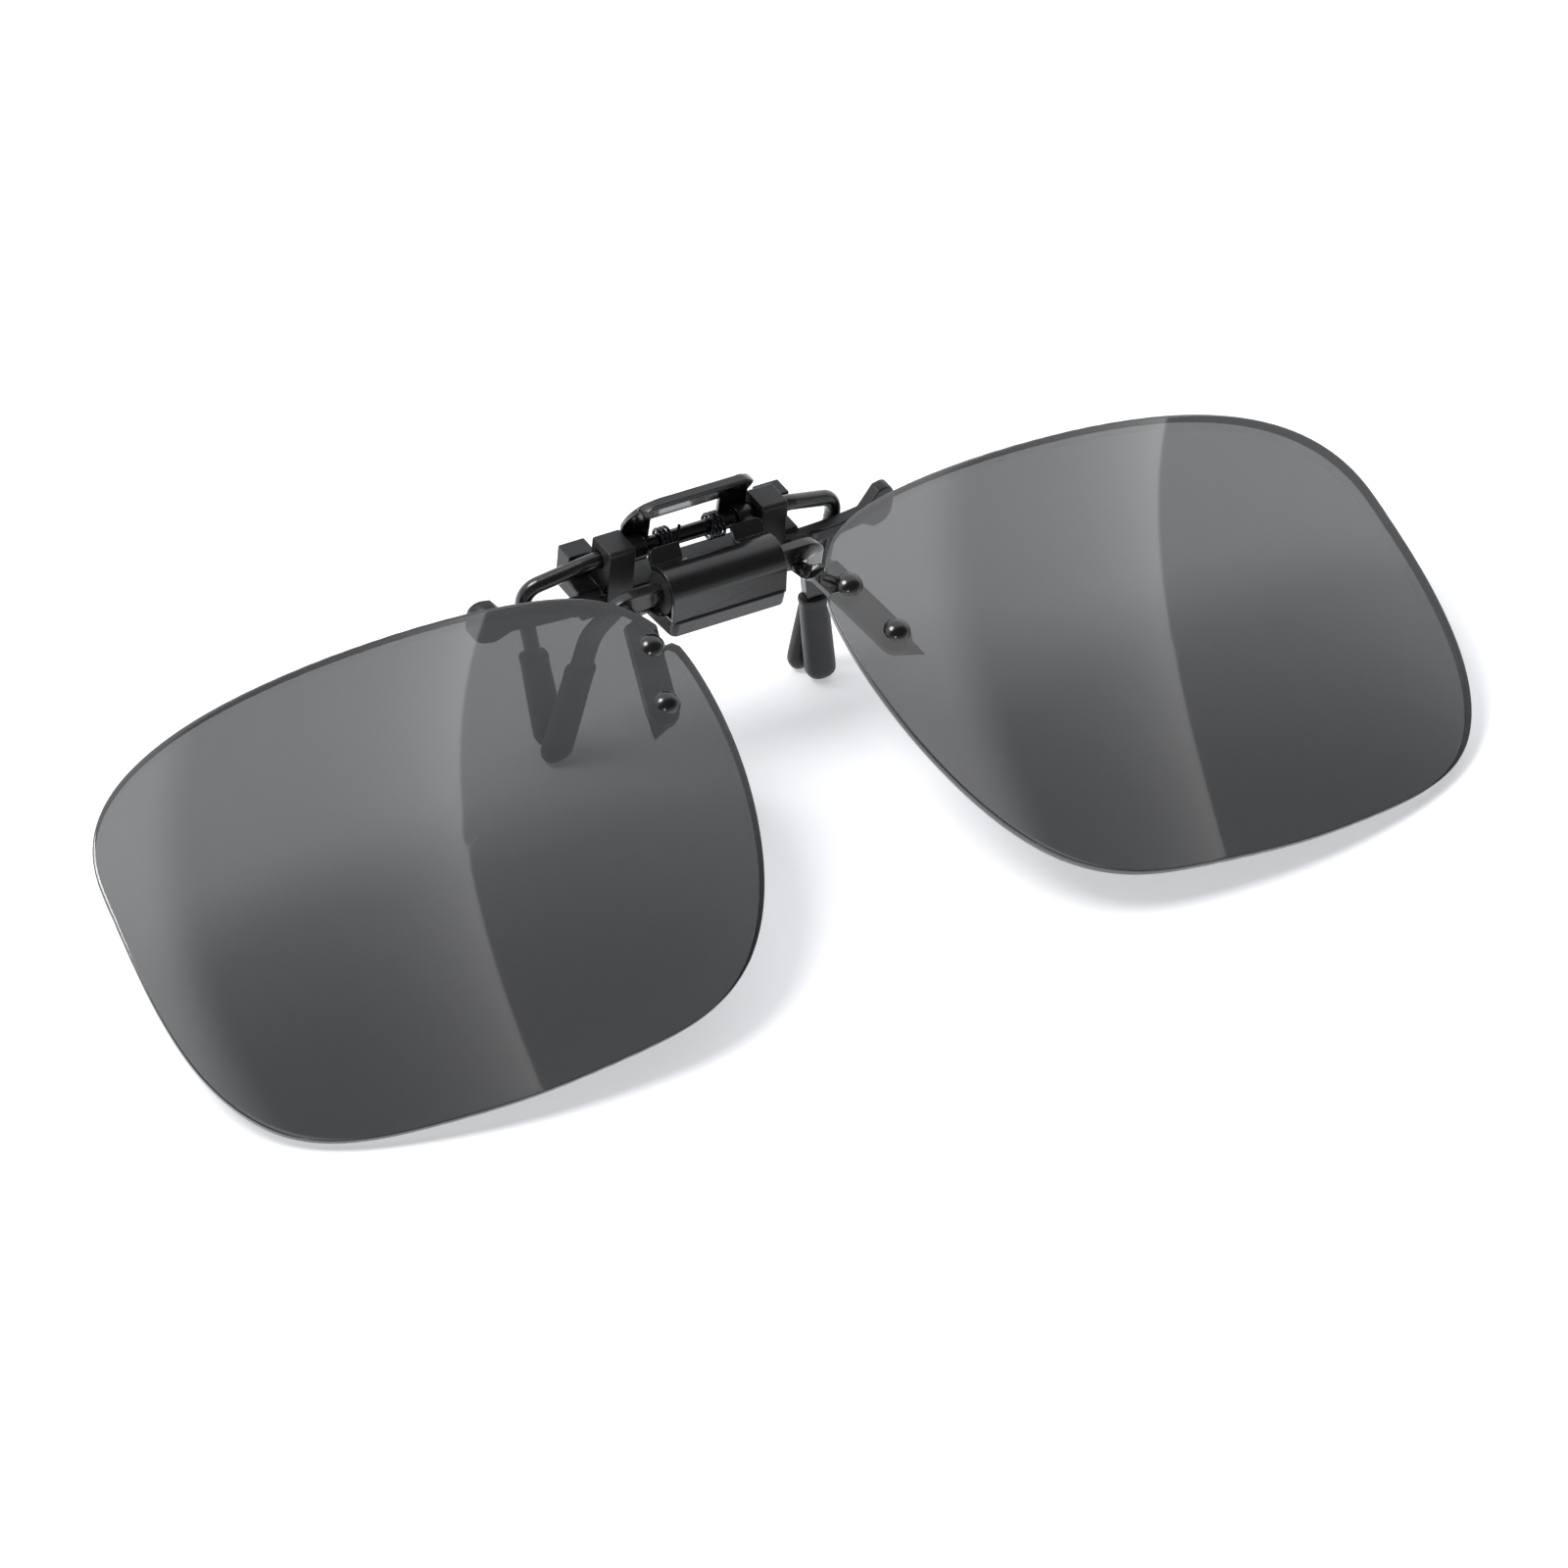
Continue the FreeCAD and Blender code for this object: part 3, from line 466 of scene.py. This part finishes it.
@dataclass
class Lens:
    """One lens: a shell of a large ball with a ground rim, built on the CAD lens's own outline."""

    side: Side
    radius: float = 133.0 * MM
    thickness: float = 1.0 * MM
    chamfer: float = 0.12 * MM
    # The middle's distance from the rim, which makes the chamfer a share of the way out.
    half_width: float = 25 * MM
    # The last flat loop lies this many chamfers in from the rim.
    shoulder: float = 3.0
    # First guess at where the ball's middle lies from the lens, and how often it is improved.
    guess: Triple = (0.0, 0.36, -0.93)
    guess_rounds: int = 30
    # A face that looks less than this share outward is part of the edge, and a point this close to the
    # ball is on the front of the lens.
    edge_turn: float = 0.5
    face_slack: float = 0.1 * MM
    # Points of the edge nearer the middle than this share of their neighbours' reach are rivet holes.
    hole_share: float = 0.9
    neighbours: float = math.radians(4)
    around: int = 288
    rings: int = 22
    # Below 1, the loops crowd towards the rim.
    ring_spread: float = 0.8
    chamfer_steps: int = 3

    def ball_middle(self, spots: np.ndarray) -> np.ndarray:
        """Find the middle of the ball that both faces of the lens belong to.

        Args:
            spots: the CAD lens's vertices.

        Returns:
            The middle, found by a few rounds of least squares.
        """
        hub = spots.mean(0) + np.array(self.guess) * self.radius
        for _ in range(self.guess_rounds):
            offsets = spots - hub
            reach = np.linalg.norm(offsets, axis=1)
            inner = self.radius - self.thickness
            wanted = np.where(reach > (self.radius + inner) / 2, self.radius, inner)
            slopes = -offsets / reach[:, None]
            step, *_ = np.linalg.lstsq(slopes, wanted - reach, rcond=None)
            hub = hub + step
        return hub

    def edge_spots(self, source: bpy.types.Mesh, hub: np.ndarray) -> np.ndarray:
        """Pick the CAD lens's vertices along the front of its edge and of its rivet holes.

        Args:
            source: the CAD lens's mesh.
            hub: the ball's middle.

        Returns:
            Where those vertices are.
        """
        edge = set()
        for face in source.polygons:
            outward = (face.center - Vector(hub)).normalized()
            if abs(face.normal.dot(outward)) < self.edge_turn:
                edge.update(face.vertices)
        places = [source.vertices[index].co for index in sorted(edge)]
        return np.array([p for p in places if (p - Vector(hub)).length > self.radius - self.face_slack])

    def outline(self, spots: np.ndarray, hub: np.ndarray) -> tuple[np.ndarray, np.ndarray]:
        """Trace the lens's edge as directions from the ball's middle.

        Args:
            spots: the vertices along its edge and its rivet holes.
            hub: the ball's middle.

        Returns:
            The lens's own middle direction, and evenly spread unit directions round its edge.
        """
        ways = spots - hub
        ways /= np.linalg.norm(ways, axis=1)[:, None]
        axis = (ways.min(0) + ways.max(0)) / 2
        axis /= np.linalg.norm(axis)
        right = np.cross([0.0, 1.0, 0.0], axis)
        right /= np.linalg.norm(right)
        up = np.cross(axis, right)
        flat = np.stack([ways @ right, ways @ up], 1) / (ways @ axis)[:, None]
        order = np.argsort(np.arctan2(flat[:, 1], flat[:, 0]))
        angle = np.arctan2(flat[:, 1], flat[:, 0])[order]
        reach = np.hypot(flat[:, 0], flat[:, 1])[order]
        gaps = np.abs((angle[:, None] - angle[None, :] + math.pi) % (2 * math.pi) - math.pi)
        outermost = np.where(gaps < self.neighbours, reach[None, :], 0.0).max(1)
        kept = reach > self.hole_share * outermost
        angle, reach = angle[kept], reach[kept]
        turns = np.linspace(-math.pi, math.pi, self.around, endpoint=False)
        smooth = np.interp(turns, angle, reach, period=2 * math.pi)
        rim = np.stack([np.cos(turns) * smooth, np.sin(turns) * smooth], 1)
        return axis, axis + rim[:, :1] * right + rim[:, 1:] * up

    def stations(self) -> list[tuple[float, float]]:
        """List the front face's loops, from near its middle out and round the chamfer.

        Returns:
            For each loop, its share of the way out to the rim, and its depth below the face.
        """
        face = [((ring / self.rings) ** self.ring_spread, 0.0) for ring in range(1, self.rings)]
        inset = self.chamfer / self.half_width
        corner = []
        for step in range(self.chamfer_steps + 1):
            turn = math.pi / 2 * step / self.chamfer_steps
            corner.append((1 - inset * (1 - math.sin(turn)), self.chamfer * (1 - math.cos(turn))))
        return [*face, (1 - self.shoulder * inset, 0.0), *corner]

    def build(self) -> bpy.types.Object:
        """Make the two faces, the rim and its fine chamfers.

        Returns:
            The lens, riding with the carrier and standing for the CAD lens.
        """
        node = "lens_" + self.side.word
        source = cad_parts[node].data
        hub = self.ball_middle(np.array([v.co for v in source.vertices]))
        axis, rim = self.outline(self.edge_spots(source, hub), hub)
        front = self.stations()
        back = [(share, self.thickness - depth) for share, depth in reversed(front)]
        mesh = bmesh.new()
        loops = []
        for share, depth in front + back:
            ways = axis + (rim - axis) * share
            ways /= np.linalg.norm(ways, axis=1)[:, None]
            loops.append([mesh.verts.new(Vector(hub + way * (self.radius - depth))) for way in ways])
        tips = [Vector(hub + axis * (self.radius - depth)) for depth in (0.0, self.thickness)]
        strips = skin(mesh, loops, tips)
        for strip in strips[len(front) - 1 - self.chamfer_steps : len(front) + self.chamfer_steps]:
            for face in strip:
                face.material_index = 1
        lens = new_piece("tinted_" + node, mesh, LENS_SHEET)
        lens.data.materials.append(GROUND_RIM.build())
        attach(lens, "lens_carrier")
        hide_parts(node)
        log.info("built %s", lens.name)
        return lens


@dataclass
class LensCarrier:
    """The bar, hood, arms and rivets that hold the lenses and turn with them."""

    sheet_edge: float = 0.07 * MM
    bar_edge: float = 0.16 * MM

    def dress(self) -> None:
        """Give each metal and nylon piece its finish."""
        dress("lens_bar", STOVE_PAINT, self.bar_edge)
        dress("flip_hood", STOVE_PAINT, self.sheet_edge)
        dress("detent_leaf", BLUED_WIRE)
        for side in Side:
            dress("lens_arm_" + side.word, STOVE_PAINT, self.sheet_edge)
            dress("flip_bush_" + side.word, TURNED_NYLON)
        dress("lens_rivets", RIVET_LACQUER)
        dress("rivet_washers", TURNED_NYLON)


@dataclass
class PadSleeve:
    """One vinyl sleeve: a tapered pad with a rolled collar round the leg and a domed foot."""

    node: str
    body: str
    # The collar's size as a share of the belly's, and where along the sleeve it starts to narrow.
    collar_scale: float
    narrow_from: float = 0.25
    # The foot's dome and the collar's rolled lip, as shares of the length.
    dome: float = 0.13
    lip_place: float = 0.965
    lip_width: float = 0.02
    lip_height: float = 0.05
    # The share of each end that is measured to find the pad's axis.
    end_share: float = 0.22
    # The skin stays just inside the CAD pad's sides and tips.
    side_scale: float = 0.99
    tip_gap: float = 0.004
    # The section's corners: 2 is an ellipse, and more is squarer.
    squareness: float = 2.6
    rings: int = 26
    points: int = 36

    def spine(self) -> tuple[Vector, Vector]:
        """Find the middle of the CAD pad's foot and collar.

        Returns:
            The lowest and the highest point of the pad's axis.
        """
        spots = [v.co.copy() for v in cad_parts[self.node].data.vertices]
        low = min(s.z for s in spots)
        high = max(s.z for s in spots)
        band = (high - low) * self.end_share
        foot = box_middle([s for s in spots if s.z < low + band])
        collar = box_middle([s for s in spots if s.z > high - band])
        slope = (collar - foot) / (collar.z - foot.z)
        return foot + slope * (low - foot.z), foot + slope * (high - foot.z)

    def girth(self, along: float) -> float:
        """Work out how large the section is at one place along the sleeve.

        Args:
            along: the share of the length, from 0 at the foot to 1 at the collar.

        Returns:
            The section's scale there.
        """
        dome = 1.0
        if along < self.dome:
            dome = math.sqrt(max(0.0, 1 - (1 - along / self.dome) ** 2))
        narrowing = max(0.0, along - self.narrow_from) / (1 - self.narrow_from)
        taper = 1 + (self.collar_scale - 1) * narrowing
        lip = self.lip_height * math.exp(-(((along - self.lip_place) / self.lip_width) ** 2))
        return dome * (taper + lip)

    def section(self, half_wide: float, half_deep: float) -> list[Vector]:
        """Draw the sleeve's section at its belly.

        Args:
            half_wide: half its width.
            half_deep: half its depth.

        Returns:
            Points round a soft-cornered square.
        """
        power = 2 / self.squareness
        spots = []
        for step in range(self.points):
            turn = 2 * math.pi * step / self.points
            cosine, sine = math.cos(turn), math.sin(turn)
            x = math.copysign(abs(cosine) ** power, cosine) * half_wide
            y = math.copysign(abs(sine) ** power, sine) * half_deep
            spots.append(Vector((x, y, 0)))
        return spots

    def build(self) -> bpy.types.Object:
        """Loft the sleeve from its foot to its collar, and close both ends.

        Returns:
            The sleeve, riding on its body and standing for the CAD pad.
        """
        foot, collar = self.spine()
        low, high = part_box(self.node)
        wide = high.x - low.x - abs(collar.x - foot.x)
        deep = high.y - low.y - abs(collar.y - foot.y)
        section = self.section(wide / 2 * self.side_scale, deep / 2 * self.side_scale)
        mesh = bmesh.new()
        loops = []
        for ring in range(self.rings):
            share = (1 - math.cos(math.pi * ring / (self.rings - 1))) / 2
            share = self.tip_gap + (1 - 2 * self.tip_gap) * share
            middle = foot.lerp(collar, share)
            scale = self.girth(share)
            loops.append([mesh.verts.new(middle + spot * scale) for spot in section])
        skin(mesh, loops, [foot, collar])
        sleeve = new_piece(self.node.replace("pad", "sleeve"), mesh, DIPPED_VINYL)
        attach(sleeve, self.body)
        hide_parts(self.node)
        log.info("built %s", sleeve.name)
        return sleeve


@dataclass
class FrontJaw:
    """The moulded bar and the forged front frame, with its vinyl sleeves."""

    moulding_edge: float = 0.15 * MM
    forging_edge: float = 0.12 * MM

    def dress(self) -> None:
        """Give each piece its finish and build the front sleeves."""
        dress("jaw_bar", MOULDED_NYLON, self.moulding_edge)
        dress("front_jaw_frame", STOVE_PAINT, self.forging_edge)
        dress("detent_cam", TURNED_NYLON)
        for side in Side:
            dress("torsion_spring_" + side.word, BLUED_WIRE)
            PadSleeve("front_pad_" + side.word, "front_jaw", collar_scale=0.94).build()


@dataclass
class RearJaw:
    """The round wire frame with its thumb lever and vinyl sleeves."""

    sheet_edge: float = 0.10 * MM

    def dress(self) -> None:
        """Give each piece its finish and build the rear sleeves."""
        dress("rear_jaw_wire", STOVE_PAINT)
        dress("lever_plate", STOVE_PAINT, self.sheet_edge)
        for side in Side:
            PadSleeve("rear_pad_" + side.word, "rear_jaw", collar_scale=0.9).build()


# ---------------------------------------------------------------- studio


@dataclass
class SoftCard:
    """A glowing card that only one lens sees: crisp and curved on its right, fading to its left."""

    lens: str
    aim: Triple
    across: Triple
    middle: Triple
    rim_start: float
    half_size: float = 0.42
    # The crisp edge: how far right it lies at each height, as a cubic's terms from the lowest up.
    edge: tuple[float, float, float, float] = (-0.0143, 0.318, 1.55, 1.64)
    edge_blur: float = 0.002
    # The glow beside the edge, how far it reaches, and how it weakens towards the card's lower end.
    glow: float = 1.9
    falloff: float = 0.045
    low_end: float = -0.2
    high_end: float = 0.16
    low_share: float = 0.55
    # The far band, which lights the lens along its rim.
    rim_glow: float = 1.1
    rim_rise: float = 0.045

    def surface(self) -> bpy.types.Material:
        """Make the card's glow: see-through, brightest along its curved edge, with a far band.

        Returns:
            The card's material.
        """
        made = blank_material("card_glow_" + self.lens)
        tree = made.node_tree
        place = add_node(tree, "ShaderNodeTexCoord").outputs["Object"]
        axes = add_node(tree, "ShaderNodeSeparateXYZ", Vector=place)
        height = axes.outputs["Y"]
        start, slope, bend, twist = self.edge
        curve = twist
        for term in (bend, slope, start):
            step = add_node(
                tree, "ShaderNodeMath", {"operation": "MULTIPLY_ADD"}, i0=height, i1=curve, i2=term
            )
            curve = step.outputs[0]
        inside = add_node(tree, "ShaderNodeMath", {"operation": "SUBTRACT"}, i0=curve, i1=axes.outputs["X"])
        inward = inside.outputs[0]
        fade = add_node(
            tree, "ShaderNodeMath", {"operation": "MULTIPLY"}, i0=inward, i1=-1 / self.falloff
        )
        near = add_node(tree, "ShaderNodeMath", {"operation": "EXPONENT"}, i0=fade.outputs[0])
        taller = add_node(
            tree,
            "ShaderNodeMapRange",
            Value=height,
            From_Min=self.low_end,
            From_Max=self.high_end,
            To_Min=self.low_share,
            To_Max=1.0,
        )
        for factor in (self.glow, taller.outputs["Result"]):
            near = add_node(
                tree, "ShaderNodeMath", {"operation": "MULTIPLY"}, i0=near.outputs[0], i1=factor
            )
        rim = add_node(
            tree,
            "ShaderNodeMapRange",
            {"interpolation_type": "SMOOTHSTEP"},
            Value=inward,
            From_Min=self.rim_start,
            From_Max=self.rim_start + self.rim_rise,
            To_Min=0.0,
            To_Max=self.rim_glow,
        )
        lit = add_node(
            tree, "ShaderNodeMath", {"operation": "ADD"}, i0=near.outputs[0], i1=rim.outputs["Result"]
        )
        cut = add_node(tree, "ShaderNodeMapRange", Value=inward, From_Min=0.0, From_Max=self.edge_blur)
        lit = add_node(
            tree, "ShaderNodeMath", {"operation": "MULTIPLY"}, i0=lit.outputs[0], i1=cut.outputs["Result"]
        )
        glow = add_node(tree, "ShaderNodeEmission", Strength=lit.outputs[0])
        clear = add_node(tree, "ShaderNodeBsdfTransparent")
        both = add_node(tree, "ShaderNodeAddShader", i0=glow.outputs[0], i1=clear.outputs[0])
        add_node(tree, "ShaderNodeOutputMaterial", Surface=both.outputs[0])
        return made

    def build(self) -> bpy.types.Object:
        """Hang the card square to its aim and let only its lens see it.

        Returns:
            The card.
        """
        half = self.half_size
        data = bpy.data.meshes.new("card_" + self.lens)
        corners = [(-half, -half, 0), (half, -half, 0), (half, half, 0), (-half, half, 0)]
        data.from_pydata(corners, [], [(0, 3, 2, 1)])
        data.materials.append(self.surface())
        card = add_object(data.name, data)
        away = Vector(self.aim).normalized()
        right = Vector(self.across).normalized()
        turn = Matrix((right, away.cross(right), away)).transposed()
        card.matrix_world = Matrix.Translation(Vector(self.middle)) @ turn.to_4x4()
        card.visible_camera = False
        card.visible_shadow = False
        card.visible_diffuse = False
        card.visible_transmission = False
        only = bpy.data.collections.new("sees_" + card.name)
        only.objects.link(bpy.data.objects["tinted_" + self.lens])
        card.light_linking.receiver_collection = only
        return card


@dataclass
class Studio:
    """Pale floor, soft sky, two lights, the lenses' cards and the camera."""

    floor_half: float = 2.5
    floor_gap: float = 0.02 * MM
    floor_colour: str = "#f4f5f7"
    floor_roughness: float = 0.9
    # The floor glows a little, which keeps the shadows pale.
    floor_glow: float = 0.42
    key_power: float = 5.0
    key_size: float = 0.42
    key_place: Triple = (-0.46, 0.20, 0.72)
    glint_power: float = 0.35
    glint_size: float = 0.05
    glint_place: Triple = (-0.42, -0.62, 0.20)
    # The sky is dark in front and bright behind, and changes between these parts of its Y axis.
    sky_colour: str = "#fafcff"
    sky_dark: float = 0.10
    sky_bright: float = 0.95
    sky_front: float = -0.28
    sky_back: float = 0.24
    # A glow along the horizon, which ends between these heights.
    horizon_glow: float = 0.55
    horizon_low: float = 0.15
    horizon_high: float = 0.4
    camera_place: Triple = (-0.3922, -0.5609, 0.5586)
    camera_forward: Triple = (0.445, 0.638, -0.629)
    camera_up: Triple = (0.272, 0.572, 0.773)
    # Focal length and sensor width, in the camera's own millimetres.
    camera_lens: float = 226.6
    camera_sensor: float = 36.0
    camera_near: float = 0.01
    cards: list[SoftCard] = field(
        default_factory=lambda: [
            SoftCard(
                lens="lens_left",
                aim=(0.3171, -0.0230, 0.9481),
                across=(0.948, 0.0, -0.317),
                middle=(0.0898, -0.0122, 0.3913),
                rim_start=0.185,
            ),
            SoftCard(
                lens="lens_right",
                aim=(0.6428, 0.0388, 0.7651),
                across=(0.766, 0.0, -0.643),
                middle=(0.2941, 0.0125, 0.3200),
                rim_start=0.125,
            ),
        ]
    )

    def lay_floor(self) -> bpy.types.Object:
        """Lay the pale floor under the object's lowest point.

        Returns:
            The floor.
        """
        half = self.floor_half
        level = CAD_BOX[0][2] - self.floor_gap
        corners = [(-half, -half, level), (half, -half, level), (half, half, level), (-half, half, level)]
        data = bpy.data.meshes.new("floor")
        data.from_pydata(corners, [], [(0, 1, 2, 3)])
        made = blank_material("pale_card_floor")
        shader = add_node(
            made.node_tree,
            "ShaderNodeBsdfPrincipled",
            Base_Color=linear(self.floor_colour),
            Roughness=self.floor_roughness,
            Specular_IOR_Level=0.0,
            Emission_Color=linear(self.floor_colour),
            Emission_Strength=self.floor_glow,
        )
        add_node(made.node_tree, "ShaderNodeOutputMaterial", Surface=shader.outputs["BSDF"])
        data.materials.append(made)
        floor = add_object("floor", data)
        return floor

    def hang_sky(self) -> None:
        """Light everything softly: bright above and behind, dim in front."""
        world = bpy.data.worlds.new("studio_sky")
        world.use_nodes = True
        bpy.context.scene.world = world
        tree = world.node_tree
        tree.nodes.clear()
        way = add_node(tree, "ShaderNodeTexCoord").outputs["Generated"]
        axes = add_node(tree, "ShaderNodeSeparateXYZ", Vector=way)
        rise = add_node(
            tree,
            "ShaderNodeMapRange",
            {"interpolation_type": "SMOOTHSTEP"},
            Value=axes.outputs["Y"],
            From_Min=self.sky_front,
            From_Max=self.sky_back,
            To_Min=self.sky_dark,
            To_Max=self.sky_bright,
        )
        low = add_node(
            tree,
            "ShaderNodeMapRange",
            Value=axes.outputs["Z"],
            From_Min=self.horizon_low,
            From_Max=self.horizon_high,
            To_Min=self.horizon_glow,
            To_Max=0.0,
        )
        total = add_node(
            tree,
            "ShaderNodeMath",
            {"operation": "MAXIMUM"},
            i0=rise.outputs["Result"],
            i1=low.outputs["Result"],
        )
        glow = add_node(
            tree, "ShaderNodeBackground", Color=linear(self.sky_colour), Strength=total.outputs[0]
        )
        add_node(tree, "ShaderNodeOutputWorld", Surface=glow.outputs[0])

    def hang_light(self, name: str, place: Triple, size: float, power: float) -> None:
        """Hang one round light that points at the object's middle.

        Args:
            name: what the light is called.
            place: where it hangs.
            size: its diameter.
            power: its power in watts.
        """
        data = bpy.data.lights.new(name, "AREA")
        data.size = size
        data.energy = power
        data.shape = "DISK"
        light = add_object(name, data)
        light.location = place
        light.rotation_euler = Vector(place).to_track_quat("Z", "Y").to_euler()
        light.visible_camera = False

    def set_camera(self) -> None:
        """Stand the camera above and to the left, looking down at the clip."""
        ahead = Vector(self.camera_forward).normalized()
        right = ahead.cross(Vector(self.camera_up)).normalized()
        turn = Matrix((right, right.cross(ahead), -ahead)).transposed()
        data = bpy.data.cameras.new("camera")
        data.lens = self.camera_lens
        data.sensor_width = self.camera_sensor
        data.clip_start = self.camera_near
        camera = add_object("camera", data)
        camera.matrix_world = Matrix.Translation(Vector(self.camera_place)) @ turn.to_4x4()
        bpy.context.scene.camera = camera

    def build(self) -> None:
        """Set up the whole studio."""
        bpy.context.scene.view_settings.view_transform = "Standard"
        self.lay_floor()
        self.hang_sky()
        self.hang_light("key", self.key_place, self.key_size, self.key_power)
        self.hang_light("glint", self.glint_place, self.glint_size, self.glint_power)
        for card in self.cards:
            card.build()
        self.set_camera()


def main() -> None:
    """Build and dress every piece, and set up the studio."""
    logging.basicConfig(level=logging.INFO, format="%(name)s: %(message)s")
    for side in Side:
        Lens(side).build()
    LensCarrier().dress()
    FrontJaw().dress()
    RearJaw().dress()
    Studio().build()


if __name__ == "__main__":
    main()
